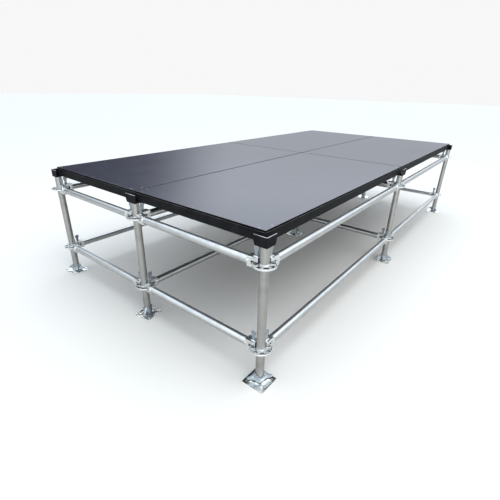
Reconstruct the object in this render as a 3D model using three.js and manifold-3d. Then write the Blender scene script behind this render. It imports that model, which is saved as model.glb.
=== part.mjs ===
// Stage riser platform: nine scaffold standards on screw jacks, two levels of wedge-locked ledgers,
// black channel heads on top of the standards and four framed plywood decks dropped into them.
// Millimetres, +Z up. The origin is on the ground under the middle standard.
import * as THREE from "three";
import { mergeVertices } from "three/addons/utils/BufferGeometryUtils.js";
import Module from "manifold-3d";

// ---- Driving dimensions ----
const BAY_X = 1000; // between standards along X
const BAY_Y = 2000; // between standards along Y
const DECK_TOP = 898;
const CLEAR = 0.3; // gap between pieces that rest on each other

const TUBE_RADIUS = 24.15; // 48.3 mm scaffold tube
const TUBE_WALL = 3.2;
const TUBE_SIDES = 10;
const BORE_SIDES = 10;

const SPINDLE_RADIUS = 19; // 38 mm screw
const SPINDLE_WALL = 4.5;
const SPINDLE_TOP = 460;
const PLATE_SIDE = 140;
const PLATE_THICK = 5;
const PLATE_TURN = 12; // degrees, the plates half way along the short sides

const NUT_BOTTOM = 12;
const NUT_TOP = 66;
const NUT_RADIUS = 30;
const WING_REACH = 72.5;
const WING_THICK = 12;

const STANDARD_BOTTOM = 38;
const ROSETTE_HEIGHTS = { lower: 229, upper: 729 };
const ROSETTE_RADIUS = 62;
const ROSETTE_THICK = 9;
const ROSETTE_SIDES = 12;
const HOLE_INNER = 37.5; // radii between which the rosette's holes lie
const HOLE_OUTER = 56.5;

const LEDGER_END = 88; // from the standard's axis to the end of the ledger's tube
const LEDGER_HEAD_HALF = 25;
const WEDGE_THICK = 6;
const DRAIN = 8;

const HEAD_BOTTOM = 827;
const HEAD_TOP = 882;
const HEAD_FLOOR = 8.7;
const HEAD_INNER = 25.5; // half the width inside a channel
const HEAD_WALL = 3.5;
const ARM_REACH = 50;
const ARM_FOOT = 42; // reach of the arm's chamfered lower edge
const CHAMFER_TOP = 850;

const DECK_INSET = 2; // from the standards' centre line to the deck's side
const RAIL_WIDTH = 23;
const RAIL_WALL = 4;
const RAIL_SHOULDER = 888; // top of the rail's outer face, below the set-back lip
const LIP_SETBACK = 3;
const LIP_WALL = 3;
const BOARD_THICK = 14.7;
const CROSS_SPACING = 500;
const CROSS_WIDTH = 40;
const CROSS_DEPTH = 38;
const CROSS_WALL = 3;

const HEAD_OUTER = HEAD_INNER + HEAD_WALL;
const SEAT = HEAD_BOTTOM + HEAD_FLOOR;
const RAIL_BOTTOM = SEAT + CLEAR;
const BOARD_BOTTOM = DECK_TOP - BOARD_THICK;
const SHELF = BOARD_BOTTOM - CLEAR; // top of the flange that the board lies on
const OVERLAP = 1; // how far joined shapes run into each other

// How far each nut's wings are turned from +X, in degrees, from left to right.
const NUT_TURNS = {
  front: [32, 125, 48],
  centre: [150, 75, 38],
  back: [60, 100, 140],
};

const COLUMNS = { left: -BAY_X, middle: 0, right: BAY_X };
const ROWS = { front: -BAY_Y, centre: 0, back: BAY_Y };

// ---- Materials ----
const galvanised = finish(0xb6bbbf, 0.38, 0.9);
const cast = finish(0xa9aeb0, 0.5, 0.85);
const blackFrame = finish(0x1c1c1e, 0.45, 0.4);
const filmPly = finish(0x858c98, 0.6, 0.0);

function finish(color, roughness, metalness) {
  return new THREE.MeshStandardMaterial({ color, roughness, metalness });
}

// ---- Solid geometry ----
const GRID = 1000; // steps per millimetre, so that faces meant to meet are exactly level
const wasm = await Module();
wasm.setup();

function toSolid(geometry) {
  const bare = geometry.clone();
  bare.deleteAttribute("normal");
  bare.deleteAttribute("uv");
  const merged = mergeVertices(bare, 1e-4);
  return new wasm.Manifold(
    new wasm.Mesh({
      numProp: 3,
      vertProperties: Float32Array.from(merged.attributes.position.array, snapped),
      triVerts: new Uint32Array(merged.index.array),
    }),
  );
}

function snapped(value) {
  return Math.round(value * GRID) / GRID;
}

function toGeometry(solid) {
  const mesh = solid.asOriginal().getMesh();
  const geometry = new THREE.BufferGeometry();
  geometry.setAttribute("position", new THREE.BufferAttribute(new Float32Array(mesh.vertProperties), 3));
  geometry.setIndex(new THREE.BufferAttribute(new Uint32Array(mesh.triVerts), 1));
  geometry.computeVertexNormals();
  return geometry;
}

function joined(...geometries) {
  return geometries.map(toSolid).reduce((sum, solid) => sum.add(solid));
}

function shapedPiece(bodies, cuts) {
  const solid = joined(...bodies);
  return toGeometry(cuts.length ? solid.subtract(joined(...cuts)) : solid);
}

function block(x0, x1, y0, y1, z0, z1) {
  const box = new THREE.BoxGeometry(x1 - x0, y1 - y0, z1 - z0);
  return box.translate((x0 + x1) / 2, (y0 + y1) / 2, (z0 + z1) / 2);
}

function extruded(points, depth, holes = []) {
  const shape = new THREE.Shape(points.map(([x, y]) => new THREE.Vector2(x, y)));
  for (const hole of holes) {
    shape.holes.push(new THREE.Path(hole.map(([x, y]) => new THREE.Vector2(x, y))));
  }
  return new THREE.ExtrudeGeometry(shape, { depth, bevelEnabled: false, steps: 1 });
}

function roundPoints(radius, sides) {
  return Array.from({ length: sides }, (_, i) => {
    const angle = (2 * Math.PI * (i + 0.5)) / sides;
    return [radius * Math.cos(angle), radius * Math.sin(angle)];
  });
}

// A rod along +Z between two heights.
function rod(radius, sides, z0, z1) {
  return extruded(roundPoints(radius, sides), z1 - z0).translate(0, 0, z0);
}

// An outline in the X-Z plane, extruded evenly to both sides of it.
function sidePlate(outline, thick) {
  return extruded(outline, thick).translate(0, 0, -thick / 2).rotateX(Math.PI / 2);
}

function radians(degrees) {
  return (degrees * Math.PI) / 180;
}

// ---- Screw jack: base plate with a threaded, hollow spindle ----
function jackScrew() {
  const half = PLATE_SIDE / 2;
  return shapedPiece(
    [
      block(-half, half, -half, half, 0, PLATE_THICK),
      rod(SPINDLE_RADIUS, TUBE_SIDES, PLATE_THICK - OVERLAP, SPINDLE_TOP),
    ],
    [rod(SPINDLE_RADIUS - SPINDLE_WALL, BORE_SIDES, 2 * PLATE_THICK, SPINDLE_TOP + OVERLAP)],
  );
}

// ---- Wing nut: a cup round the foot of the standard, with two wings ----
function wingNut() {
  const cupFloor = STANDARD_BOTTOM - CLEAR;
  const wing = [
    [NUT_RADIUS - 6, 15],
    [WING_REACH - 3, 20],
    [WING_REACH, 27],
    [WING_REACH - 3, 35],
    [46, 43],
    [NUT_RADIUS - 3, 60],
  ];
  const opposite = sidePlate(wing, WING_THICK).rotateZ(Math.PI);
  return shapedPiece(
    [rod(NUT_RADIUS, TUBE_SIDES, NUT_BOTTOM, NUT_TOP), sidePlate(wing, WING_THICK), opposite],
    [
      rod(SPINDLE_RADIUS + 1.2, TUBE_SIDES, NUT_BOTTOM - OVERLAP, NUT_TOP),
      rod(TUBE_RADIUS + 1.5, TUBE_SIDES, cupFloor, NUT_TOP + OVERLAP),
    ],
  );
}

// ---- Rosette: a disc with four small and four large holes ----
function rosette(height) {
  const holes = Array.from({ length: 8 }, (_, i) => {
    const angle = (i * Math.PI) / 4;
    const [inner, outer] = i % 2 ? [10, 15] : [8, 9];
    const corners = [
      [HOLE_INNER, -inner],
      [HOLE_OUTER, -outer],
      [HOLE_OUTER, outer],
      [HOLE_INNER, inner],
    ];
    return corners.map(([x, y]) => [
      x * Math.cos(angle) - y * Math.sin(angle),
      x * Math.sin(angle) + y * Math.cos(angle),
    ]);
  });
  const disc = extruded(roundPoints(ROSETTE_RADIUS, ROSETTE_SIDES), ROSETTE_THICK, holes);
  return disc.translate(0, 0, height - ROSETTE_THICK / 2);
}

// ---- Channel head: a floor with upright walls that leave a channel open along each arm ----
function armWall(side) {
  const outline = [
    [HEAD_INNER, HEAD_BOTTOM],
    [ARM_FOOT, HEAD_BOTTOM],
    [ARM_REACH, CHAMFER_TOP],
    [ARM_REACH, HEAD_TOP],
    [HEAD_INNER, HEAD_TOP],
  ];
  return sidePlate(outline, HEAD_WALL).translate(0, side * (HEAD_INNER + HEAD_WALL / 2), 0);
}

// arms says, for each quarter turn from +X, whether a deck rail lies that way.
function channelHead(arms) {
  const pieces = [
    block(-HEAD_OUTER, HEAD_OUTER, -HEAD_OUTER, HEAD_OUTER, HEAD_BOTTOM, SEAT),
  ];
  arms.forEach((open, quarter) => {
    const turn = (quarter * Math.PI) / 2;
    if (open) {
      const floor = block(0, ARM_FOOT, -HEAD_OUTER, HEAD_OUTER, HEAD_BOTTOM, SEAT);
      pieces.push(floor.rotateZ(turn), armWall(1).rotateZ(turn), armWall(-1).rotateZ(turn));
    } else {
      // The wall stops short of a closed corner, where the two folded walls leave a slit.
      const reach = (beside) => HEAD_INNER + (arms[beside % 4] ? OVERLAP : -OVERLAP);
      const right = reach(quarter + 3);
      const left = reach(quarter + 1);
      pieces.push(block(HEAD_INNER, HEAD_OUTER, -right, left, HEAD_BOTTOM, HEAD_TOP).rotateZ(turn));
    }
  });
  return pieces;
}

// ---- Standard: a tube with two rosettes and its channel head ----
function standard(arms) {
  return shapedPiece(
    [
      rod(TUBE_RADIUS, TUBE_SIDES, STANDARD_BOTTOM, HEAD_BOTTOM + OVERLAP),
      ...Object.values(ROSETTE_HEIGHTS).map(rosette),
      ...channelHead(arms),
    ],
    [rod(TUBE_RADIUS - TUBE_WALL, TUBE_SIDES, STANDARD_BOTTOM - OVERLAP, HEAD_BOTTOM - 20)],
  );
}

// ---- Ledger: a tube along +X from one standard's axis to the next, with wedge heads ----
function ledgerEnd() {
  const jaws = [
    [26, 6],
    [64, 6],
    [64, -6],
    [26, -6],
    [26, -28],
    [92, -28],
    [92, 26],
    [70, 31],
    [26, 31],
  ];
  const wedge = [
    [44, -32],
    [53, -32],
    [64, 86],
    [29, 86],
  ];
  return [sidePlate(jaws, 2 * LEDGER_HEAD_HALF), sidePlate(wedge, WEDGE_THICK)];
}

function ledger(span) {
  const along = (geometry) => geometry.rotateX(Math.PI / 2).rotateZ(Math.PI / 2);
  const far = (geometry) => geometry.rotateZ(Math.PI).translate(span, 0, 0);
  const boreStart = LEDGER_END + 6;
  const drainAlong = [boreStart + DRAIN, boreStart + 2 * DRAIN];
  return shapedPiece(
    [
      along(rod(TUBE_RADIUS, TUBE_SIDES, LEDGER_END, span - LEDGER_END)),
      ...ledgerEnd(),
      ...ledgerEnd().map(far),
    ],
    [
      along(rod(TUBE_RADIUS - TUBE_WALL, BORE_SIDES, boreStart, span - boreStart)),
      block(...drainAlong, -DRAIN / 2, DRAIN / 2, -TUBE_RADIUS - OVERLAP, 0),
    ],
  );
}

// ---- Deck frame: an inward-facing channel ring with a set-back lip and cross members ----
function ring(inset, width, z0, z1) {
  const x = BAY_X / 2 - DECK_INSET - inset;
  const y = BAY_Y / 2 - DECK_INSET - inset;
  const rectangle = (a, b) => [[-a, -b], [a, -b], [a, b], [-a, b]];
  return extruded(rectangle(x, y), z1 - z0, [rectangle(x - width, y - width)]).translate(0, 0, z0);
}

// An inverted channel from web to web, under the board.
function crossMember(y) {
  const half = CROSS_WIDTH / 2;
  const inner = half - CROSS_WALL;
  const reach = BAY_X / 2 - DECK_INSET - RAIL_WALL + OVERLAP;
  const section = [
    [-half, -CROSS_DEPTH],
    [-inner, -CROSS_DEPTH],
    [-inner, -CROSS_WALL],
    [inner, -CROSS_WALL],
    [inner, -CROSS_DEPTH],
    [half, -CROSS_DEPTH],
    [half, 0],
    [-half, 0],
  ];
  const member = extruded(section, 2 * reach).translate(0, 0, -reach);
  return member.rotateX(Math.PI / 2).rotateZ(Math.PI / 2).translate(0, y, SHELF);
}

function deckFrame() {
  return shapedPiece(
    [
      ring(0, RAIL_WALL, RAIL_BOTTOM, RAIL_SHOULDER),
      ring(LIP_SETBACK, LIP_WALL, SHELF - OVERLAP, DECK_TOP),
      ring(0, RAIL_WIDTH, RAIL_BOTTOM, RAIL_BOTTOM + RAIL_WALL),
      ring(0, RAIL_WIDTH, SHELF - RAIL_WALL, SHELF),
      ...[-CROSS_SPACING, 0, CROSS_SPACING].map(crossMember),
    ],
    [],
  );
}

// ---- Deck board: plywood lying inside the frame's lip ----
function deckBoard() {
  const edge = DECK_INSET + LIP_SETBACK + LIP_WALL + CLEAR;
  const x = BAY_X / 2 - edge;
  const y = BAY_Y / 2 - edge;
  return block(-x, x, -y, y, BOARD_BOTTOM, DECK_TOP);
}

// ---- Assembly ----
const riser = new THREE.Group();

function place(name, geometry, material, x, y, z = 0, turn = 0) {
  const mesh = new THREE.Mesh(geometry, material);
  mesh.name = name;
  mesh.position.set(x, y, z);
  mesh.rotation.z = radians(turn);
  riser.add(mesh);
}

const screwShape = jackScrew();
const nutShape = wingNut();

for (const [row, y] of Object.entries(ROWS)) {
  for (const [index, [column, x]] of Object.entries(COLUMNS).entries()) {
    const post = `${row}_${column}`;
    const arms = [x < BAY_X, y < BAY_Y, x > -BAY_X, y > -BAY_Y];
    const plateTurn = x === 0 && y !== 0 ? PLATE_TURN : 0;
    place(`jack_screw_${post}`, screwShape, galvanised, x, y, 0, plateTurn);
    place(`wing_nut_${post}`, nutShape, cast, x, y, 0, NUT_TURNS[row][index]);
    place(`standard_${post}`, standard(arms), galvanised, x, y);
  }
}

const shortLedger = ledger(BAY_X);
const longLedger = ledger(BAY_Y);

for (const [level, z] of Object.entries(ROSETTE_HEIGHTS)) {
  for (const [row, y] of Object.entries(ROWS)) {
    place(`ledger_${level}_${row}_left`, shortLedger, galvanised, -BAY_X, y, z);
    place(`ledger_${level}_${row}_right`, shortLedger, galvanised, 0, y, z);
  }
  for (const [column, x] of Object.entries(COLUMNS)) {
    place(`ledger_${level}_${column}_front`, longLedger, galvanised, x, -BAY_Y, z, 90);
    place(`ledger_${level}_${column}_back`, longLedger, galvanised, x, 0, z, 90);
  }
}

const frameShape = deckFrame();
const boardShape = deckBoard();

for (const [end, y] of Object.entries({ front: -BAY_Y / 2, back: BAY_Y / 2 })) {
  for (const [side, x] of Object.entries({ left: -BAY_X / 2, right: BAY_X / 2 })) {
    place(`deck_frame_${end}_${side}`, frameShape, blackFrame, x, y);
    place(`deck_board_${end}_${side}`, boardShape, filmPly, x, y);
  }
}

export default riser;
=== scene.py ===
"""Looks of the stage riser platform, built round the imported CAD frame. Metres, +Z up."""
import cmath
import math

import bmesh
import bpy
from mathutils import Matrix, Vector


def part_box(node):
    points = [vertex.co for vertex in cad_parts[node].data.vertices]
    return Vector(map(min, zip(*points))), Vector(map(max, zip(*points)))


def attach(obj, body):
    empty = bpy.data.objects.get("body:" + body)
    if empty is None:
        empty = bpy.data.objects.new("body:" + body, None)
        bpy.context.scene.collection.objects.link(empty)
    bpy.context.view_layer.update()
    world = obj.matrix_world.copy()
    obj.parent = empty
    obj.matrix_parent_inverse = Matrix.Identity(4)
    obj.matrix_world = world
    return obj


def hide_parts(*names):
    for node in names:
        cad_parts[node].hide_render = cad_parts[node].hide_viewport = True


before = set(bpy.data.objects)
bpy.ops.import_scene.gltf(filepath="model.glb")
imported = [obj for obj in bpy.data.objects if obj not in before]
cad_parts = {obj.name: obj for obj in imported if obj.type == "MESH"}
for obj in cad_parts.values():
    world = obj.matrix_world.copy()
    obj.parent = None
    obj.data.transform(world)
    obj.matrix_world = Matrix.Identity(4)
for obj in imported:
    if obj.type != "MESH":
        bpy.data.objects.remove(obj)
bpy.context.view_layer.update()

MM = 0.001
ROWS = ("front", "centre", "back")
COLUMNS = ("left", "middle", "right")
POSTS = [f"{row}_{column}" for row in ROWS for column in COLUMNS]
DECKS = [f"{end}_{side}" for end in ("front", "back") for side in ("left", "right")]
QUARTER = math.pi / 2

# ---- Sizes that the frame's boxes don't give ----
# Tubes, rosettes and the ledgers' ends, from the standard's axis
TUBE_RADIUS = 24.15 * MM
TUBE_WALL = 3.2 * MM
TUBE_SEGMENTS = 56
ROSETTE_BELOW = 32 * MM  # from a ledger's lowest point, the wedge tip, up to the rosette's middle
ROSETTE_RADIUS = 62 * MM
ROSETTE_THICK = 9 * MM
HOLE_INNER = 37.5 * MM
HOLE_OUTER = 56.5 * MM
COLLAR_START = 80 * MM  # where the ledger head's round collar begins
LEDGER_END = 93 * MM  # where the ledger's tube begins to show
LEDGER_GAPS = 52 * MM  # a bay's span less the length of the ledger in it, with both its heads
HEAD_SLOT = 8.5 * MM  # half the height of the slot in a ledger head
WEDGE_THICK = 6 * MM

# Jack
SPINDLE_RADIUS = 19 * MM
THREAD_PITCH = 8 * MM
THREAD_TOP = 300 * MM
THREAD_DEPTH = 1.1 * MM
PLATE_HALF = 70 * MM
PLATE_THICK = 5 * MM
PLATE_HOLE_AT = 51 * MM
PLATE_HOLE_RADIUS = 4.5 * MM
WING_REACH = 72.5 * MM
SEAT_GAP = 0.3 * MM  # between the standard's foot and the nut it stands in

# Channel head
HEAD_BOTTOM = 827 * MM
HEAD_SEAT = 835.7 * MM
HEAD_TOP = 882 * MM
HEAD_INNER = 25.5 * MM
HEAD_WALL = 3.5 * MM
HEAD_OUTER = HEAD_INNER + HEAD_WALL
ARM_REACH = 50 * MM
ARM_FOOT = 42 * MM
CHAMFER_TOP = 850 * MM

# Deck
RAIL_SHOULDER = 10 * MM  # below the deck's top, where the rail steps in by LIP_SETBACK
RAIL_SHELF = 15 * MM  # below the deck's top, what the board lies on
LIP_SETBACK = 3 * MM
RAIL_DEPTH = 23 * MM
RAIL_WALL = 4 * MM
MEMBER_INSET = 4.3 * MM  # a cross member keeps just clear of the rail's wall and shelf
MEMBER_DEPTH = 34 * MM
MEMBER_SPACING = 0.5
CORNER_SCREW_IN = 52 * MM  # from a deck's long side
END_SCREW_IN = 17 * MM  # from a deck's short end
SIDE_SCREW_IN = 22 * MM  # from a deck's long side
SIDE_SCREW_ALONG = 80 * MM  # from a deck's short end
SCREW_TURN = 0.7  # radians from one screw's cross to the next

# ---- Light and view ----
SKY_STRENGTH = 2.45
SHADED_SKY = 0.05  # share of the light left low down towards -X
HORIZON_SKY = 0.22  # share left near the horizon towards +Y
ZENITH_SKY = 1.3
LAMPS = (
    # name, place, target, size, energy, colour
    ("key", (3.5, -1.0, 6.0), (0, 0, 0.5), 5.0, 260, (1.0, 0.99, 0.97)),
    ("fill", (4.5, -7.0, 1.6), (0, 0, 0.2), 4.0, 150, (1.0, 0.99, 0.98)),
)
CAMERA_PLACE = (1.836, -3.196, 1.482)
CAMERA_RIGHT = (0.784, 0.620, 0.023)
CAMERA_FORWARD = (-0.555, 0.717, -0.422)
CAMERA_LENS = 25.02
SENSOR_WIDTH = 36


# ---- Mesh tools ----
def finished(bm, name, smooth_angle=20):
    """A mesh from bm, its faces outward, shaded smooth below the angle."""
    bmesh.ops.remove_doubles(bm, verts=bm.verts, dist=1e-6)
    bmesh.ops.recalc_face_normals(bm, faces=bm.faces)
    mesh = bpy.data.meshes.new(name)
    for edge in bm.edges:
        if len(edge.link_faces) == 2:
            edge.smooth = edge.calc_face_angle(0) < math.radians(smooth_angle)
    for face in bm.faces:
        face.smooth = True
    bm.to_mesh(mesh)
    bm.free()
    return mesh


def bevelled(bm, width, segments=2, angle=35):
    """Rounds the edges that turn by more than the angle."""
    bmesh.ops.remove_doubles(bm, verts=bm.verts, dist=1e-6)
    bmesh.ops.recalc_face_normals(bm, faces=bm.faces)
    limit = math.radians(angle)
    edges = [e for e in bm.edges if len(e.link_faces) == 2 and e.calc_face_angle(0) > limit]
    bmesh.ops.bevel(
        bm, geom=edges, offset=width, segments=segments, profile=0.5, affect="EDGES", clamp_overlap=True
    )
    return bm


def turned(profile, segments, height_at=None):
    """A closed profile of (radius, z) points turned round Z. height_at(index, angle) may shift z."""
    bm = bmesh.new()
    rings = []
    for step in range(segments):
        angle = 2 * math.pi * step / segments
        ring = []
        for index, (radius, z) in enumerate(profile):
            lift = height_at(index, angle) if height_at else 0
            ring.append(bm.verts.new((radius * math.cos(angle), radius * math.sin(angle), z + lift)))
        rings.append(ring)
    count = len(profile)
    for step in range(segments):
        here = rings[step]
        after = rings[(step + 1) % segments]
        for i in range(count):
            j = (i + 1) % count
            bm.faces.new((here[i], after[i], after[j], here[j]))
    return bm


def prism(outline, low, high, axes="xyz", holes=()):
    """An outline with optional holes in the first two axes, drawn out from low to high along the third."""
    bm = bmesh.new()
    slots = ["xyz".index(a) for a in axes]

    def vertex(a, b):
        point = [0, 0, 0]
        point[slots[0]] = a
        point[slots[1]] = b
        point[slots[2]] = low
        return bm.verts.new(point)

    edges = []
    for loop in [outline, *holes]:
        verts = [vertex(a, b) for a, b in loop]
        edges += [bm.edges.new((verts[i - 1], verts[i])) for i in range(len(verts))]
    if holes:
        bmesh.ops.triangle_fill(bm, edges=edges, use_beauty=True)
    else:
        bmesh.ops.contextual_create(bm, geom=edges)
    made = bmesh.ops.extrude_face_region(bm, geom=list(bm.faces), use_keep_orig=True)
    shift = [0, 0, 0]
    shift[slots[2]] = high - low
    moved = [v for v in made["geom"] if isinstance(v, bmesh.types.BMVert)]
    bmesh.ops.translate(bm, verts=moved, vec=shift)
    bmesh.ops.recalc_face_normals(bm, faces=bm.faces)
    return bm


def merged(*parts):
    """One bmesh holding all the parts."""
    whole = bmesh.new()
    for part in parts:
        scratch = bpy.data.meshes.new("scratch")
        part.to_mesh(scratch)
        part.free()
        whole.from_mesh(scratch)
        bpy.data.meshes.remove(scratch)
    return whole


def shifted(bm, offset=(0, 0, 0), turn=None, axis="Z"):
    """bm turned by an angle about an axis, then moved."""
    matrix = Matrix.Translation(offset)
    if turn is not None:
        matrix = matrix @ Matrix.Rotation(turn, 4, axis)
    bmesh.ops.transform(bm, matrix=matrix, verts=bm.verts)
    return bm


def applied(bm, name, modifiers):
    """The mesh that bm becomes after a list of (type, settings) modifiers."""
    mesh = bpy.data.meshes.new(name)
    bm.to_mesh(mesh)
    bm.free()
    worker = bpy.data.objects.new(name + "_worker", mesh)
    bpy.context.scene.collection.objects.link(worker)
    for kind, settings in modifiers:
        modifier = worker.modifiers.new(kind, kind)
        for key, value in settings.items():
            setattr(modifier, key, value)
    graph = bpy.context.evaluated_depsgraph_get()
    result = bpy.data.meshes.new_from_object(worker.evaluated_get(graph))
    result.name = name
    bpy.data.objects.remove(worker)
    bpy.data.meshes.remove(mesh)
    return result


def cast_shape(name, parts, voxel, smoothing, keep):
    """Overlapping closed parts melted into one soft-edged casting."""
    mesh = applied(
        merged(*parts),
        name,
        [
            ("REMESH", {"mode": "VOXEL", "voxel_size": voxel, "use_smooth_shade": True}),
            ("SMOOTH", {"factor": 0.6, "iterations": smoothing}),
            ("DECIMATE", {"ratio": keep}),
        ],
    )
    for polygon in mesh.polygons:
        polygon.use_smooth = True
    return mesh


def box_outline(x0, x1, y0, y1):
    """The four corners of an upright rectangle."""
    return [(x0, y0), (x1, y0), (x1, y1), (x0, y1)]


def arc(centre, radius, start, end, steps):
    """Points on an arc, angles in degrees."""
    points = []
    for i in range(steps + 1):
        angle = math.radians(start + (end - start) * i / steps)
        points.append((centre[0] + radius * math.cos(angle), centre[1] + radius * math.sin(angle)))
    return points


def rounded(corners, radius, steps=4):
    """A polygon with its corners rounded off."""
    points = []
    count = len(corners)
    for i, corner in enumerate(corners):
        here = Vector(corner)
        before = Vector(corners[i - 1]) - here
        after = Vector(corners[(i + 1) % count]) - here
        cut = min(radius, before.length * 0.45, after.length * 0.45)
        start = here + before.normalized() * cut
        end = here + after.normalized() * cut
        for step in range(steps + 1):
            t = step / steps
            point = start * (1 - t) ** 2 + here * 2 * t * (1 - t) + end * t**2
            points.append((point.x, point.y))
    return points


def toned(mesh, materials, index_of):
    """The mesh with several materials, of which index_of(polygon) picks one for each face."""
    for material in materials:
        mesh.materials.append(material)
    for polygon in mesh.polygons:
        polygon.material_index = int(index_of(polygon))
    return mesh


def piece(name, mesh, material, body, offset=(0, 0, 0), turn=0, replaces=()):
    """A named piece that rides on a CAD body."""
    obj = bpy.data.objects.new(name, mesh)
    bpy.context.scene.collection.objects.link(obj)
    obj.location = offset
    obj.rotation_euler = (0, 0, turn)
    if not mesh.materials:
        mesh.materials.append(material)
    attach(obj, body)
    if replaces:
        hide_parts(*replaces)
    return obj


# ---- Materials ----
class Nodes:
    """A new node material with short calls for its nodes."""

    def __init__(self, name):
        self.material = bpy.data.materials.new(name)
        self.material.use_nodes = True
        self.tree = self.material.node_tree
        self.shader = self.tree.nodes["Principled BSDF"]

    def add(self, kind, **settings):
        """A new node, each setting going to the socket or else the property of that name."""
        node = self.tree.nodes.new("ShaderNode" + kind)
        for key, value in settings.items():
            if key in node.inputs:
                node.inputs[key].default_value = value
            else:
                setattr(node, key, value)
        return node

    def link(self, source, target):
        self.tree.links.new(source, target)

    def coordinates(self):
        """Places on the piece itself, in metres."""
        source = self.add("TexCoord")
        mapping = self.add("Mapping")
        self.link(source.outputs["Object"], mapping.inputs["Vector"])
        return mapping.outputs["Vector"]

    def texture(self, kind, vector, output, **settings):
        """One output of a texture node."""
        node = self.add("Tex" + kind, **settings)
        self.link(vector, node.inputs["Vector"])
        return node.outputs[output]

    def ramp(self, value, stops):
        """A colour between the (position, colour) stops."""
        node = self.add("ValToRGB")
        elements = node.color_ramp.elements
        while len(elements) < len(stops):
            elements.new(0.5)
        for element, (position, colour) in zip(elements, stops):
            element.position = position
            element.color = (*colour, 1)
        self.link(value, node.inputs["Fac"])
        return node.outputs["Color"]

    def remap(self, value, low, high, to_low, to_high):
        """value moved from one range to another, and kept inside it."""
        node = self.add("MapRange")
        for key, number in (("From Min", low), ("From Max", high), ("To Min", to_low), ("To Max", to_high)):
            node.inputs[key].default_value = number
        self.link(value, node.inputs["Value"])
        return node.outputs["Result"]

    def mix(self, factor, first, second, blend="MIX"):
        """Two colours mixed. Each argument is a socket or a plain value."""
        node = self.add("Mix", data_type="RGBA", blend_type=blend)
        for value, socket in ((factor, node.inputs[0]), (first, node.inputs[6]), (second, node.inputs[7])):
            if isinstance(value, bpy.types.NodeSocket):
                self.link(value, socket)
            elif isinstance(value, (int, float)):
                socket.default_value = value
            else:
                socket.default_value = (*value, 1)
        return node.outputs[2]

    def bump(self, height, strength, distance):
        """A normal roughened by the height."""
        node = self.add("Bump")
        node.inputs["Strength"].default_value = strength
        node.inputs["Distance"].default_value = distance
        self.link(height, node.inputs["Height"])
        return node.outputs["Normal"]

    def set(self, **sockets):
        """Sets or links the shader's sockets, with underscores for the spaces in their names."""
        for key, value in sockets.items():
            socket = self.shader.inputs[key.replace("_", " ")]
            if isinstance(value, bpy.types.NodeSocket):
                self.link(value, socket)
            else:
                socket.default_value = value


def galvanised(name, light, dark, roughness, spangle, grain):
    """Hot-dip galvanised steel: zinc spangle, dull patches and a slightly uneven skin."""
    m = Nodes(name)
    space = m.coordinates()
    crystals = m.texture("Voronoi", space, "Color", Scale=spangle)
    patches = m.texture("Noise", space, "Fac", Scale=11, Detail=5, Roughness=0.6)
    streaks = m.texture("Noise", space, "Fac", Scale=45, Detail=3, Roughness=0.55)
    fine = m.texture("Noise", space, "Fac", Scale=grain, Detail=2)
    tone = m.ramp(patches, [(0.3, dark), (0.5, light), (0.75, tuple(c * 1.07 for c in light))])
    mottled = m.mix(m.remap(streaks, 0.55, 0.75, 0, 0.3), tone, dark)
    m.set(Base_Color=m.mix(0.06, mottled, crystals, "SOFT_LIGHT"), Metallic=1.0)
    m.set(Roughness=m.remap(patches, 0.3, 0.7, roughness + 0.08, roughness - 0.04))
    m.set(Normal=m.bump(fine, 0.03, 0.2 * MM))
    return m.material


def satin_black(name, colour, worn, roughness, gloss):
    """Black powder coat with a light orange peel and greyer rubbed patches."""
    m = Nodes(name)
    space = m.coordinates()
    peel = m.texture("Noise", space, "Fac", Scale=700, Detail=2)
    rubs = m.texture("Noise", space, "Fac", Scale=14, Detail=8, Roughness=0.7)
    m.set(Base_Color=m.ramp(rubs, [(0.45, colour), (0.72, worn)]), Metallic=0.0)
    m.set(Roughness=m.remap(rubs, 0.35, 0.7, roughness, roughness + 0.15))
    m.set(Normal=m.bump(peel, 0.2, 0.15 * MM), Specular_IOR_Level=gloss)
    return m.material


def film_faced(name):
    """Dark phenolic film on plywood: a fine anti-slip grid, faint scuffs and a soft sheen."""
    m = Nodes(name)
    space = m.coordinates()
    clouds = m.texture("Noise", space, "Fac", Scale=1.7, Detail=6, Roughness=0.6)
    scuffs = m.texture("Noise", space, "Fac", Scale=7, Detail=9, Roughness=0.72)
    grid = m.texture("Voronoi", space, "Distance", Scale=260, distance="CHEBYCHEV", Randomness=0.15)
    base = m.ramp(clouds, [(0.3, (0.010, 0.0095, 0.017)), (0.7, (0.016, 0.015, 0.026))])
    dusty = m.mix(m.remap(scuffs, 0.55, 0.8, 0, 0.1), base, (0.045, 0.045, 0.055))
    m.set(Base_Color=dusty, Metallic=0.0)
    m.set(Roughness=m.remap(scuffs, 0.35, 0.7, 0.23, 0.26))
    m.set(Normal=m.bump(grid, 0.05, 0.3 * MM), Specular_IOR_Level=0.5)
    return m.material


def ply_edge(name):
    """Sealed plywood edge: thin dark and light plies in layers along Z."""
    m = Nodes(name)
    layers = m.texture("Wave", m.coordinates(), "Fac", Scale=95, Distortion=0.6, bands_direction="Z")
    m.set(Base_Color=m.ramp(layers, [(0.35, (0.05, 0.03, 0.02)), (0.65, (0.16, 0.10, 0.06))]))
    m.set(Roughness=0.6)
    return m.material


def zinc_screw(name):
    """Zinc-plated screw."""
    m = Nodes(name)
    grain = m.texture("Noise", m.coordinates(), "Fac", Scale=900, Detail=2)
    m.set(Base_Color=m.ramp(grain, [(0.3, (0.2, 0.2, 0.21)), (0.7, (0.27, 0.27, 0.28))]))
    m.set(Metallic=1.0, Roughness=0.25, Normal=m.bump(grain, 0.1, 0.1 * MM))
    return m.material


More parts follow.
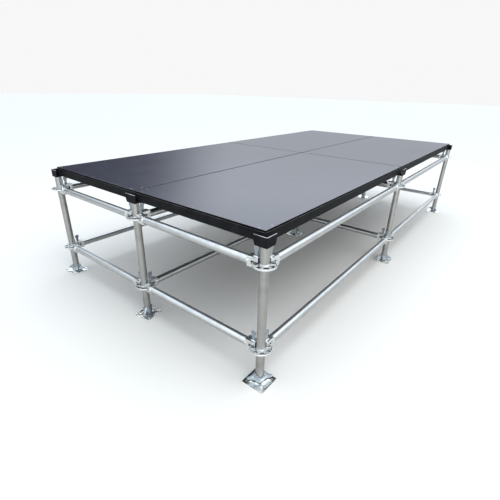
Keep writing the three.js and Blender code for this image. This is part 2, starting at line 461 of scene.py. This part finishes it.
TUBE = galvanised(
    "galvanised_tube",
    light=(0.42, 0.423, 0.415), dark=(0.35, 0.353, 0.345), roughness=0.36, spangle=190, grain=900,
)
# A darker copy of the ledgers' tube material for the upright standards: painted shade standing in for the
# dimmer light on them
SHADED_STANDARD_TUBE = galvanised(
    "galvanised_tube_painted_shade",
    light=(0.31, 0.306, 0.292), dark=(0.25, 0.247, 0.235), roughness=0.38, spangle=190, grain=900,
)
CASTING = galvanised(
    "galvanised_casting",
    light=(0.6, 0.61, 0.605), dark=(0.45, 0.46, 0.45), roughness=0.34, spangle=320, grain=700,
)
FORGED = galvanised(
    "forged_zinc",
    light=(0.27, 0.305, 0.33), dark=(0.2, 0.22, 0.24), roughness=0.34, spangle=320, grain=700,
)
# Near-black casting that paints shade into the rosettes' hole walls and the ledger heads' slots
RECESS_PAINTED_SHADE = galvanised(
    "casting_recess_painted_shade",
    light=(0.07, 0.07, 0.068), dark=(0.035, 0.035, 0.034), roughness=0.6, spangle=320, grain=700,
)
PLATE = galvanised(
    "galvanised_plate",
    light=(0.76, 0.75, 0.71), dark=(0.5, 0.5, 0.47), roughness=0.24, spangle=160, grain=600,
)
BLACK = satin_black(
    "satin_black",
    colour=(0.006, 0.006, 0.0065), worn=(0.012, 0.012, 0.013), roughness=0.42, gloss=0.02,
)
# Lighter, glossier black for the shoulder's top: a painted highlight along the rail's step
SHOULDER_PAINTED_HIGHLIGHT = satin_black(
    "shoulder_painted_highlight",
    colour=(0.03, 0.03, 0.032), worn=(0.08, 0.08, 0.085), roughness=0.34, gloss=0.35,
)
LIP = satin_black(
    "lip_black",
    colour=(0.012, 0.012, 0.016), worn=(0.02, 0.02, 0.024), roughness=0.26, gloss=0.5,
)
SHADED = satin_black(
    "shaded_black",
    colour=(0.001, 0.001, 0.0012), worn=(0.002, 0.002, 0.0024), roughness=0.8, gloss=0.0,
)
# Light grey for the head walls' top faces: a painted highlight along their top edges
HEAD_TOP_PAINTED_HIGHLIGHT = satin_black(
    "head_top_painted_highlight",
    colour=(0.16, 0.16, 0.165), worn=(0.45, 0.45, 0.46), roughness=0.3, gloss=0.5,
)
FILM = film_faced("film_faced_ply")
EDGE = ply_edge("ply_edge")
SCREW = zinc_screw("zinc_screw")


# ---- Tubes, rosettes and standards ----
def tube(low, high, radius=TUBE_RADIUS, wall=TUBE_WALL, segments=TUBE_SEGMENTS):
    """An open tube along Z with eased rims."""
    ease = 0.6 * MM
    inner = radius - wall
    profile = [
        (radius, low + ease),
        (radius, high - ease),
        (radius - ease, high),
        (inner + ease, high),
        (inner, high - ease),
        (inner, low + ease),
        (inner + ease, low),
        (radius - ease, low),
    ]
    return turned(profile, segments)


def rosette_holes():
    """Four small and four large round-cornered openings."""
    holes = []
    for index in range(8):
        inner, outer = ((10, 15) if index % 2 else (8, 9))
        corners = [
            (HOLE_INNER, -inner * MM),
            (HOLE_OUTER, -outer * MM),
            (HOLE_OUTER, outer * MM),
            (HOLE_INNER, inner * MM),
        ]
        angle = index * math.pi / 4
        turn = Matrix.Rotation(angle, 2)
        holes.append([tuple(turn @ Vector(p)) for p in rounded(corners, 4 * MM)])
    return holes


def rosette_mesh():
    """The punched disc, with its middle at z 0."""
    half = ROSETTE_THICK / 2
    outline = arc((0, 0), ROSETTE_RADIUS, 0, 360 - 5, 71)
    rim = arc((0, 0), TUBE_RADIUS - 0.2 * MM, 0, 360 - 10, 35)
    disc = prism(outline, -half, half, holes=[rim, *rosette_holes()])
    mesh = finished(bevelled(disc, 1.1 * MM, angle=50), "rosette")

    def shaded_hole_wall(polygon):
        inside = polygon.center.xy.length < ROSETTE_RADIUS - 3 * MM
        return inside and abs(polygon.normal.z) < 0.5

    # The hole walls take the near-black casting as painted shade
    return toned(mesh, (CASTING, RECESS_PAINTED_SHADE), shaded_hole_wall)


def weld_bead(z, side):
    """A rippled fillet between tube and rosette, above (1) or below (-1) the disc."""
    size = 4.2 * MM
    ripple = 0.45 * MM
    base = [(TUBE_RADIUS - 0.3 * MM, 0), (TUBE_RADIUS + size, 0), (TUBE_RADIUS + size * 0.45, size * 0.5)]
    base.append((TUBE_RADIUS - 0.3 * MM, size))
    profile = [(r, z + side * h) for r, h in base]

    def wavy(index, angle):
        return side * ripple * math.sin(angle * 34) if index in (2, 3) else 0

    return turned(profile, 136, wavy)


def standard_mesh(low, rosettes):
    """The tube with its weld beads, on the Z axis."""
    parts = [tube(low, HEAD_BOTTOM - 0.4 * MM)]
    for z in rosettes:
        for side in (1, -1):
            parts.append(weld_bead(z + side * (ROSETTE_THICK / 2 - 0.2 * MM), side))
    return finished(merged(*parts), "standard_tube")


# ---- Channel head ----
def head_wall(plan):
    """A folded wall whose outline in plan depends on how far the arms reach at that height."""
    levels = [(HEAD_BOTTOM, ARM_FOOT), (CHAMFER_TOP, ARM_REACH), (HEAD_TOP, ARM_REACH)]
    bm = bmesh.new()
    rings = [[bm.verts.new((x, y, z)) for x, y in plan(reach)] for z, reach in levels]
    for low, high in zip(rings, rings[1:]):
        for i in range(len(low)):
            bm.faces.new((low[i - 1], low[i], high[i], high[i - 1]))
    bm.faces.new(rings[0])
    bm.faces.new(rings[-1])
    return bm


def long_wall(reach):
    """Right across the head, on its -Y side."""
    return box_outline(-reach, reach, -HEAD_OUTER, -HEAD_INNER)


def short_wall(reach):
    """Along the +X arm, on its +Y side."""
    return box_outline(HEAD_INNER, reach, HEAD_INNER, HEAD_OUTER)


def short_wall_across(reach):
    """Along the +Y arm, on its +X side."""
    return box_outline(HEAD_INNER, HEAD_OUTER, HEAD_INNER, reach)


def corner_wall(reach):
    """Bent round the closed corner, on the -X and -Y sides."""
    bend = 6 * MM
    middle_of_bend = (bend - HEAD_OUTER, bend - HEAD_OUTER)
    outside = arc(middle_of_bend, bend, 180, 270, 6)
    inside = arc(middle_of_bend, bend - HEAD_WALL, 270, 180, 6)
    return [
        (-HEAD_OUTER, reach),
        *outside,
        (reach, -HEAD_OUTER),
        (reach, -HEAD_INNER),
        *inside,
        (-HEAD_INNER, reach),
    ]


def head_mesh(arms):
    """The black head. arms says, for each quarter turn from +X, whether a rail lies that way."""
    width = HEAD_INNER + 1 * MM
    reach = [ARM_FOOT - 1 * MM if open_side else width for open_side in arms]
    low = HEAD_BOTTOM + 0.5 * MM
    parts = [
        prism(box_outline(-reach[2], reach[0], -width, width), low, HEAD_SEAT),
        prism(box_outline(-width, width, -reach[3], reach[1]), low, HEAD_SEAT),
    ]
    for quarter in range(4):
        turn = quarter * QUARTER
        here = arms[quarter]
        after = arms[(quarter + 1) % 4]
        before = arms[quarter - 1]
        if here and after:
            parts.append(shifted(head_wall(short_wall), turn=turn))
            parts.append(shifted(head_wall(short_wall_across), turn=turn))
        if not here and after and before:
            parts.append(shifted(head_wall(long_wall), turn=turn + QUARTER))
        if not here and not after:
            parts.append(shifted(head_wall(corner_wall), turn=turn + math.pi))
    eased = [bevelled(part, 1.1 * MM, angle=30) for part in parts]
    mesh = finished(merged(*eased), "channel_head")
    # The walls' top faces take the light grey as a painted highlight
    return toned(mesh, (BLACK, HEAD_TOP_PAINTED_HIGHLIGHT), lambda polygon: polygon.center.z > HEAD_TOP - 1.2 * MM)


# ---- Ledgers ----
def ledger_head_mesh():
    """A cast wedge head round the +X side of a standard, with the rosette's middle at z 0."""
    half_collar = 6.5 * MM
    ring = box_outline(20 * MM, 27 * MM, -half_collar, half_collar)
    collar = shifted(turned(ring, 48), (COLLAR_START + half_collar, 0, 0), QUARTER, "Y")
    web = prism(box_outline(66 * MM, 92 * MM, -21 * MM, 21 * MM), -27 * MM, 28 * MM)
    upper = prism(
        [
            (27 * MM, -19 * MM),
            (34 * MM, -22.5 * MM),
            (60 * MM, -20 * MM),
            (90 * MM, -24 * MM),
            (90 * MM, 24 * MM),
            (60 * MM, 20 * MM),
            (34 * MM, 22.5 * MM),
            (27 * MM, 19 * MM),
        ],
        HEAD_SLOT,
        29 * MM,
    )
    lower = prism(
        [
            (27 * MM, -17 * MM),
            (60 * MM, -19 * MM),
            (90 * MM, -24 * MM),
            (90 * MM, 24 * MM),
            (60 * MM, 19 * MM),
            (27 * MM, 17 * MM),
        ],
        -26 * MM,
        -HEAD_SLOT,
    )
    lug = prism(box_outline(33 * MM, 62 * MM, -8.5 * MM, 8.5 * MM), 20 * MM, 33 * MM)
    tail = prism(box_outline(80 * MM, 91 * MM, -15 * MM, 15 * MM), -31 * MM, 0)
    parts = [collar, web, upper, lower, lug, tail]
    mesh = cast_shape("ledger_head", parts, voxel=1.1 * MM, smoothing=2, keep=0.2)

    def shaded_slot_face(polygon):
        return abs(polygon.center.z) < HEAD_SLOT + 0.5 * MM and polygon.center.x < 67 * MM

    # The slot's faces take the near-black casting as painted shade
    return toned(mesh, (CASTING, RECESS_PAINTED_SHADE), shaded_slot_face)


def wedge_mesh():
    """A captive wedge in the X-Z plane of a head, with its rivet at the tip."""
    outline = rounded(
        [
            (45 * MM, -31 * MM),
            (53 * MM, -31 * MM),
            (57 * MM, 20 * MM),
            (59 * MM, 60 * MM),
            (65 * MM, 68 * MM),
            (66 * MM, 84 * MM),
            (50 * MM, 86 * MM),
            (35 * MM, 83 * MM),
            (35 * MM, 69 * MM),
            (40 * MM, 60 * MM),
            (42 * MM, 20 * MM),
        ],
        3 * MM,
    )
    blade = bevelled(prism(outline, -WEDGE_THICK / 2, WEDGE_THICK / 2, "xzy"), 0.8 * MM)
    head = 5.2 * MM
    rivet = [(0.01 * MM, -head), (2.6 * MM, -head), (3.6 * MM, -WEDGE_THICK / 2)]
    rivet += [(3.6 * MM, WEDGE_THICK / 2), (2.6 * MM, head), (0.01 * MM, head)]
    pin = shifted(turned(rivet, 20), (49 * MM, 0, -27 * MM), QUARTER, "X")
    return finished(merged(blade, pin), "wedge")


def ledger_tube_mesh(span):
    """The ledger's tube along +X, level with the rosettes."""
    bm = tube(LEDGER_END - 3 * MM, span - LEDGER_END + 3 * MM)
    return finished(shifted(bm, turn=QUARTER, axis="Y"), "ledger_tube")


# ---- Jack: plate, spindle and wing nut ----
def plate_height(x, y):
    """Height of the pressed plate's top: a flat rim, a sunk ring, corner ribs, a raised middle and dents."""
    radius = math.hypot(x, y)
    dome = 0.5 * (1 + math.cos(math.pi * min(1, radius / (46 * MM))))
    diagonal = min(abs(x - y), abs(x + y)) / math.sqrt(2)
    rib = math.exp(-((diagonal / (9 * MM)) ** 2)) * max(0, 1 - abs(radius - 50 * MM) / (28 * MM))
    ring = math.exp(-(((radius - 47 * MM) / (12 * MM)) ** 2)) * (1 - rib)
    clear_of_rim = max(0, 1 - (max(abs(x), abs(y)) / PLATE_HALF) ** 4)
    clear_of_nut = min(1, max(0, (radius - 24 * MM) / (14 * MM)))
    dent = math.sin(x / (10 * MM) + 1.1) * math.cos(y / (11 * MM) - 0.4) * clear_of_rim * clear_of_nut
    return PLATE_THICK + (4.2 * dome + 3.2 * rib - 2.2 * ring + 1.5 * dent) * MM


def base_plate_mesh():
    """A pressed square plate with four corner holes."""
    steps = 56
    corner = 7 * MM
    bm = bmesh.new()

    def pulled(u, v):
        """A point of the square, its corners rounded."""
        x = u * PLATE_HALF
        y = v * PLATE_HALF
        over_x = abs(x) - (PLATE_HALF - corner)
        over_y = abs(y) - (PLATE_HALF - corner)
        if over_x > 0 and over_y > 0:
            length = math.hypot(over_x, over_y)
            limit = max(over_x, over_y) / length
            x = math.copysign(PLATE_HALF - corner + over_x * limit, x)
            y = math.copysign(PLATE_HALF - corner + over_y * limit, y)
        return x, y

    grids = []
    for top in (True, False):
        rows = []
        for i in range(steps + 1):
            row = []
            for j in range(steps + 1):
                x, y = pulled(2 * i / steps - 1, 2 * j / steps - 1)
                row.append(bm.verts.new((x, y, plate_height(x, y) if top else 0)))
            rows.append(row)
        grids.append(rows)
    for rows in grids:
        for i in range(steps):
            for j in range(steps):
                bm.faces.new((rows[i][j], rows[i + 1][j], rows[i + 1][j + 1], rows[i][j + 1]))
    border = [(i, 0) for i in range(steps)] + [(steps, j) for j in range(steps)]
    border += [(i, steps) for i in range(steps, 0, -1)] + [(0, j) for j in range(steps, 0, -1)]
    top, bottom = grids
    for k, (i, j) in enumerate(border):
        m, n = border[(k + 1) % len(border)]
        bm.faces.new((top[i][j], top[m][n], bottom[m][n], bottom[i][j]))
    bmesh.ops.recalc_face_normals(bm, faces=bm.faces)
    drill = bmesh.new()
    for x in (-PLATE_HOLE_AT, PLATE_HOLE_AT):
        for y in (-PLATE_HOLE_AT, PLATE_HOLE_AT):
            hole = prism(arc((x, y), PLATE_HOLE_RADIUS, 0, 345, 23), -5 * MM, 20 * MM)
            drill = merged(drill, hole)
    cutter_mesh = bpy.data.meshes.new("drill")
    drill.to_mesh(cutter_mesh)
    drill.free()
    cutter = bpy.data.objects.new("drill", cutter_mesh)
    bpy.context.scene.collection.objects.link(cutter)
    mesh = applied(bm, "base_plate", [("BOOLEAN", {"operation": "DIFFERENCE", "object": cutter})])
    bpy.data.objects.remove(cutter)
    again = bmesh.new()
    again.from_mesh(mesh)
    return finished(again, "base_plate", smooth_angle=50)


def spindle_mesh(low, high):
    """The jack's screw: a rounded 8 mm thread, plain inside the standard's upper part."""
    columns = 28
    rows_per_turn = 6
    rows = int(THREAD_TOP / THREAD_PITCH * rows_per_turn)
    steepness = 1.6
    bm = bmesh.new()
    rings = []
    heights = [low + (THREAD_TOP - low) * i / rows for i in range(rows + 1)] + [high - 2 * MM, high]
    for index, z in enumerate(heights):
        ring = []
        for step in range(columns):
            angle = 2 * math.pi * step / columns
            wave = math.cos(2 * math.pi * z / THREAD_PITCH - angle)
            cut = THREAD_DEPTH * (0.5 - 0.5 * max(-1, min(1, steepness * wave)))
            if index > rows:
                cut = THREAD_DEPTH * 0.5 + (1.5 * MM if z == high else 0)
            radius = SPINDLE_RADIUS - cut
            ring.append(bm.verts.new((radius * math.cos(angle), radius * math.sin(angle), z)))
        rings.append(ring)
    for below, above in zip(rings, rings[1:]):
        for step in range(columns):
            after = (step + 1) % columns
            bm.faces.new((below[step], below[after], above[after], above[step]))
    bm.faces.new(rings[0])
    bm.faces.new(rings[-1])
    weld = [(17 * MM, low), (24 * MM, low), (22 * MM, low + 2.2 * MM), (17 * MM, low + 3 * MM)]
    return finished(merged(bm, turned(weld, 40)), "spindle", smooth_angle=60)


def wing_nut_mesh(low, seat):
    """A cast nut: a cup round the standard's foot that rises into two wings."""

    def rise(index, angle):
        return 19 * MM * math.cos(angle) ** 2 if index in (2, 3) else 0

    cup = turned(
        [
            (29.5 * MM, low + 4 * MM),
            (30.5 * MM, seat),
            (29.5 * MM, seat + 7 * MM),
            (25.4 * MM, seat + 7 * MM),
            (25.4 * MM, seat),
            (20 * MM, seat),
            (20 * MM, low),
            (26 * MM, low),
        ],
        72,
        rise,
    )
    wing = [
        (26 * MM, low + 3 * MM),
        (45 * MM, low + 5 * MM),
        (WING_REACH - 5 * MM, low + 7 * MM),
        (WING_REACH - 1 * MM, low + 12 * MM),
        (WING_REACH - 3 * MM, low + 20 * MM),
        (58 * MM, low + 23 * MM),
        (42 * MM, low + 33 * MM),
        (34 * MM, low + 45 * MM),
        (28.5 * MM, low + 50 * MM),
    ]
    knob_profile = [(0.01 * MM, -7.5 * MM), (5 * MM, -7 * MM), (6.5 * MM, 0)]
    knob_profile += [(5 * MM, 7 * MM), (0.01 * MM, 7.5 * MM)]
    root = [(24 * MM, -14 * MM), (44 * MM, -6 * MM), (44 * MM, 6 * MM), (24 * MM, 14 * MM)]
    wings = []
    for turn in (0, math.pi):
        blade = prism(rounded(wing, 3 * MM), -5.5 * MM, 5.5 * MM, "xzy")
        foot = prism(rounded(root, 2 * MM), low + 2 * MM, low + 20 * MM)
        knob = shifted(
            turned(knob_profile, 20),
            (WING_REACH - 7.5 * MM, 0, low + 13.5 * MM),
            QUARTER,
            "X",
        )
        wings += [shifted(part, turn=turn) for part in (blade, foot, knob)]
    return cast_shape("wing_nut", [cup, *wings], voxel=1.2 * MM, smoothing=3, keep=0.35)


# ---- Deck: frame, cross members, board and screws ----
def rail_ring_mesh(low, high):
    """The inward-facing channel rail with its set-back lip, mitred round the four sides."""
    bottom = low.z
    top = high.z
    shoulder = top - RAIL_SHOULDER
    shelf = top - RAIL_SHELF
    profile = [
        (0, bottom),
        (0, shoulder),
        (LIP_SETBACK, shoulder),
        (LIP_SETBACK, top),
        (2 * LIP_SETBACK, top),
        (2 * LIP_SETBACK, shelf),
        (RAIL_DEPTH, shelf),
        (RAIL_DEPTH, shelf - RAIL_WALL),
        (RAIL_WALL, shelf - RAIL_WALL),
        (RAIL_WALL, bottom + RAIL_WALL),
        (RAIL_DEPTH, bottom + RAIL_WALL),
        (RAIL_DEPTH, bottom),
    ]
    bm = bmesh.new()
    loops = []
    for inset, z in profile:
        corners = box_outline(low.x + inset, high.x - inset, low.y + inset, high.y - inset)
        loops.append([bm.verts.new((x, y, z)) for x, y in corners])
    for here, after in zip(loops, loops[1:] + loops[:1]):
        for i in range(4):
            j = (i + 1) % 4
            bm.faces.new((here[i], here[j], after[j], after[i]))
    mesh = finished(bevelled(bm, 0.7 * MM), "deck_rails")

    def tone(polygon):
        """The lip's top, the lip's sides in near-black painted shade, the shoulder's top in a lighter black
        as a painted highlight, or the rest.
        """
        z = polygon.center.z
        if z > top - 0.8 * MM:
            return 2
        if z > shoulder + 0.8 * MM:
            return 3
        return polygon.normal.z > 0.4 and abs(z - shoulder) < 1 * MM

    return toned(mesh, (BLACK, SHOULDER_PAINTED_HIGHLIGHT, LIP, SHADED), tone)


def cross_member_mesh(length, depth):
    """An inverted channel along X, its top at z 0."""
    half = 20 * MM
    wall = 3 * MM
    outline = [
        (-half, -depth),
        (-half + wall, -depth),
        (-half + wall, -wall),
        (half - wall, -wall),
        (half - wall, -depth),
        (half, -depth),
        (half, 0),
        (-half, 0),
    ]
    bm = prism(outline, -length / 2, length / 2, "yzx")
    return finished(bevelled(bm, 0.8 * MM), "cross_member")


def board_mesh(low, high):
    """The plywood board, its top and bottom filmed and its edge showing the plies."""
    bm = prism(box_outline(low.x, high.x, low.y, high.y), low.z, high.z)
    mesh = finished(bevelled(bm, 0.9 * MM), "deck_board")
    return toned(mesh, (FILM, EDGE), lambda polygon: abs(polygon.normal.z) < 0.5)


def screw_mesh():
    """A countersunk screw head with a cross recess, its rim at z 0."""
    segments = 32
    bm = bmesh.new()
    rings = []
    for radius, z in ((4.6, -0.6), (4.8, 0.05), (4.3, 0.5), (2.8, 0.75), (1.5, 0.75)):
        ring = []
        for step in range(segments):
            angle = 2 * math.pi * step / segments
            ring.append(bm.verts.new((radius * MM * math.cos(angle), radius * MM * math.sin(angle), z * MM)))
        rings.append(ring)
    cross = []
    for step in range(segments):
        angle = 2 * math.pi * step / segments
        radius = (2.3 if abs(math.cos(2 * angle)) > 0.85 else 0.9) * MM
        cross.append(bm.verts.new((radius * math.cos(angle) * 0.6, radius * math.sin(angle) * 0.6, 0)))
    rings.append(cross)
    for outer, inner in zip(rings, rings[1:]):
        for step in range(segments):
            after = (step + 1) % segments
            bm.faces.new((outer[step], outer[after], inner[after], inner[step]))
    bm.faces.new(rings[-1])
    bm.faces.new(rings[0])
    return finished(bm, "board_screw", smooth_angle=60)


# ---- Assembly ----
def middle(node):
    """The centre of a CAD node's box."""
    low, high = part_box(node)
    return (low + high) / 2


def build_posts():
    """Nine jacks, wing nuts, standards, rosettes and channel heads."""
    nut_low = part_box("wing_nut_front_right")[0]
    standard_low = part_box("standard_front_right")[0]
    jack_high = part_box("jack_screw_front_right")[1]
    levels = {
        level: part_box(f"ledger_{level}_front_left")[0].z + ROSETTE_BELOW for level in ("lower", "upper")
    }
    plate = base_plate_mesh()
    spindle = spindle_mesh(PLATE_THICK + 3 * MM, jack_high.z)
    nut = wing_nut_mesh(nut_low.z, standard_low.z - SEAT_GAP)
    tube_mesh = standard_mesh(standard_low.z, levels.values())
    disc = rosette_mesh()
    centre = middle("jack_screw_centre_middle")
    for post in POSTS:
        at = middle(f"jack_screw_{post}")
        ground = (at.x, at.y, 0)
        piece(
            f"base_plate_{post}", plate, PLATE, "feet",
            ground, turn_of(f"jack_screw_{post}", 4) - math.pi / 4, [f"jack_screw_{post}"],
        )
        piece(f"spindle_{post}", spindle, CASTING, "feet", ground)
        piece(
            f"cast_nut_{post}", nut, FORGED, f"nut_{post}",
            ground, turn_of(f"wing_nut_{post}", 2), [f"wing_nut_{post}"],
        )
        # The standards take the darker tube copy as painted shade
        piece(
            f"standard_tube_{post}", tube_mesh, SHADED_STANDARD_TUBE, "frame",
            ground, 0, [f"standard_{post}"],
        )
        for level, z in levels.items():
            piece(f"rosette_{level}_{post}", disc, CASTING, "frame", (at.x, at.y, z))
        # A rail lies towards each quarter but those that look out from the stage's edge
        side = at - centre
        arms = [side.x < 0.5, side.y < 0.5, side.x > -0.5, side.y > -0.5]
        piece(f"channel_head_{post}", head_mesh(arms), BLACK, "frame", ground)


def turn_of(node, folds):
    """How far a node with that many equal sides round Z is turned, from its vertices' moment."""
    centre = middle(node)
    offsets = [v.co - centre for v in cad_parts[node].data.vertices]
    places = {(round(offset.x, 4), round(offset.y, 4)) for offset in offsets}
    return cmath.phase(sum(complex(*place) ** folds for place in places)) / folds


def build_ledgers():
    """Twenty-four ledgers, each a tube, two heads and two wedges."""
    head = ledger_head_mesh()
    wedge = wedge_mesh()
    tubes = {}
    for name in sorted(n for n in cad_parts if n.startswith("ledger_")):
        low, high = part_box(name)
        centre = (low + high) / 2
        z = low.z + ROSETTE_BELOW
        along_y = high.y - low.y > high.x - low.x
        length = max(high.x - low.x, high.y - low.y)
        span = round(length + LEDGER_GAPS, 3)
        if span not in tubes:
            tubes[span] = ledger_tube_mesh(span)
        turn = QUARTER if along_y else 0
        along = Vector((0, 1, 0)) if along_y else Vector((1, 0, 0))
        start = Vector((centre.x, centre.y, z)) - along * span / 2
        end = start + along * span
        piece(name + "_tube", tubes[span], TUBE, "frame", start, turn, [name])
        for mark, place, facing in (("a", start, turn), ("b", end, turn + math.pi)):
            piece(f"{name}_head_{mark}", head, CASTING, "frame", place, facing)
            piece(f"{name}_wedge_{mark}", wedge, FORGED, "frame", place, facing)


def build_decks():
    """Four decks, each a rail ring, three cross members, a board and its screws."""
    screw = screw_mesh()
    member = None
    for deck in DECKS:
        body = f"deck_{deck}"
        low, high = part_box(f"deck_frame_{deck}")
        centre = (low + high) / 2
        shelf = high.z - RAIL_SHELF
        piece(
            f"deck_rails_{deck}", rail_ring_mesh(low, high), BLACK, body,
            replaces=[f"deck_frame_{deck}"],
        )
        if member is None:
            member = cross_member_mesh(high.x - low.x - 2 * MEMBER_INSET, MEMBER_DEPTH)
        for index, offset in enumerate((-MEMBER_SPACING, 0, MEMBER_SPACING), 1):
            place = (centre.x, centre.y + offset, shelf - MEMBER_INSET)
            piece(f"cross_member_{deck}_{index}", member, BLACK, body, place)
        board_low, board_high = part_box(f"deck_board_{deck}")
        piece(
            f"board_{deck}", board_mesh(board_low, board_high), FILM, body,
            replaces=[f"deck_board_{deck}"],
        )
        half_x = (high.x - low.x) / 2
        half_y = (high.y - low.y) / 2
        spots = [(0, 0)]
        corner_x = half_x - CORNER_SCREW_IN
        side_x = half_x - SIDE_SCREW_IN
        for end in (-1, 1):
            spots += [(x, end * (half_y - END_SCREW_IN)) for x in (-corner_x, 0, corner_x)]
            spots += [(x, end * (half_y - SIDE_SCREW_ALONG)) for x in (-side_x, side_x)]
        for index, (x, y) in enumerate(spots, 1):
            place = (centre.x + x, centre.y + y, board_high.z)
            piece(f"screw_{deck}_{index}", screw, SCREW, body, place, index * SCREW_TURN)


# ---- Surroundings ----
def build_floor():
    """A plain pale floor."""
    bm = bmesh.new()
    bmesh.ops.create_grid(bm, x_segments=4, y_segments=4, size=60)
    mesh = finished(bm, "floor")
    floor = bpy.data.objects.new("floor", mesh)
    bpy.context.scene.collection.objects.link(floor)
    m = Nodes("pale_floor")
    m.set(Base_Color=(0.4, 0.38, 0.355, 1), Roughness=0.9, Specular_IOR_Level=0.1)
    mesh.materials.append(m.material)


def build_sky():
    """Soft overcast light: brightest overhead, weaker low down towards +Y, shaded towards -X."""
    world = bpy.data.worlds.new("studio")
    bpy.context.scene.world = world
    world.use_nodes = True
    tree = world.node_tree
    nodes = tree.nodes
    sky = nodes["Background"]
    space = nodes.new("ShaderNodeTexCoord")
    parts = nodes.new("ShaderNodeSeparateXYZ")
    tree.links.new(space.outputs["Generated"], parts.inputs[0])

    def remap(socket, low, high, to_low, to_high):
        """The socket eased from one range into another."""
        node = nodes.new("ShaderNodeMapRange")
        node.interpolation_type = "SMOOTHSTEP"
        for key, number in (("From Min", low), ("From Max", high), ("To Min", to_low), ("To Max", to_high)):
            node.inputs[key].default_value = number
        tree.links.new(socket, node.inputs["Value"])
        return node.outputs["Result"]

    def times(first, second):
        """The product of two sockets."""
        node = nodes.new("ShaderNodeMath")
        node.operation = "MULTIPLY"
        tree.links.new(first, node.inputs[0])
        tree.links.new(second, node.inputs[1])
        return node.outputs[0]

    towards = remap(parts.outputs["X"], -0.6, -0.85, 0, 1)
    low_down = remap(parts.outputs["Z"], 0.62, 0.36, 0, 1)
    shading = remap(times(towards, low_down), 0, 1, 1, SHADED_SKY)
    behind = remap(parts.outputs["Y"], -0.2, 0.4, 0, 1)
    horizon = remap(parts.outputs["Z"], 0.42, 0.08, 0, 1)
    height = remap(times(behind, horizon), 0, 1, SKY_STRENGTH, HORIZON_SKY * SKY_STRENGTH)
    zenith = remap(parts.outputs["Z"], 0.45, 0.85, 1, ZENITH_SKY)
    tree.links.new(times(times(shading, height), zenith), sky.inputs["Strength"])
    tint = nodes.new("ShaderNodeMix")
    tint.data_type = "RGBA"
    tree.links.new(remap(parts.outputs["Z"], 0.0, 0.75, 0, 1), tint.inputs[0])
    tint.inputs[6].default_value = (0.93, 0.975, 1.03, 1)
    tint.inputs[7].default_value = (0.84, 0.95, 1.06, 1)
    tree.links.new(tint.outputs[2], sky.inputs["Color"])

    # The camera itself sees a plain pale backdrop
    backdrop = nodes.new("ShaderNodeBackground")
    backdrop.inputs["Color"].default_value = (0.93, 0.935, 0.93, 1)
    path = nodes.new("ShaderNodeLightPath")
    choice = nodes.new("ShaderNodeMixShader")
    tree.links.new(path.outputs["Is Camera Ray"], choice.inputs["Fac"])
    tree.links.new(sky.outputs[0], choice.inputs[1])
    tree.links.new(backdrop.outputs[0], choice.inputs[2])
    tree.links.new(choice.outputs[0], nodes["World Output"].inputs["Surface"])


def build_lamp(name, place, target, size, energy, colour):
    """A round area lamp that faces its target."""
    lamp = bpy.data.lights.new(name, "AREA")
    lamp.shape = "DISK"
    lamp.size = size
    lamp.energy = energy
    lamp.color = colour
    obj = bpy.data.objects.new(name, lamp)
    bpy.context.scene.collection.objects.link(obj)
    obj.location = place
    obj.rotation_mode = "QUATERNION"
    obj.rotation_quaternion = (Vector(target) - Vector(place)).to_track_quat("-Z", "Y")


def build_camera():
    """A wide lens close to the near right corner, tipped down."""
    right = Vector(CAMERA_RIGHT).normalized()
    forward = Vector(CAMERA_FORWARD).normalized()
    forward = (forward - right * forward.dot(right)).normalized()
    up = right.cross(forward)
    camera = bpy.data.objects.new("camera", bpy.data.cameras.new("camera"))
    bpy.context.scene.collection.objects.link(camera)
    camera.data.sensor_width = SENSOR_WIDTH
    camera.data.lens = CAMERA_LENS
    turn = Matrix((right, up, -forward)).transposed().to_4x4()
    camera.matrix_world = Matrix.Translation(CAMERA_PLACE) @ turn
    bpy.context.scene.camera = camera


build_posts()
build_ledgers()
build_decks()
build_floor()
build_sky()
for lamp_settings in LAMPS:
    build_lamp(*lamp_settings)
build_camera()
bpy.context.scene.view_settings.view_transform = "Standard"
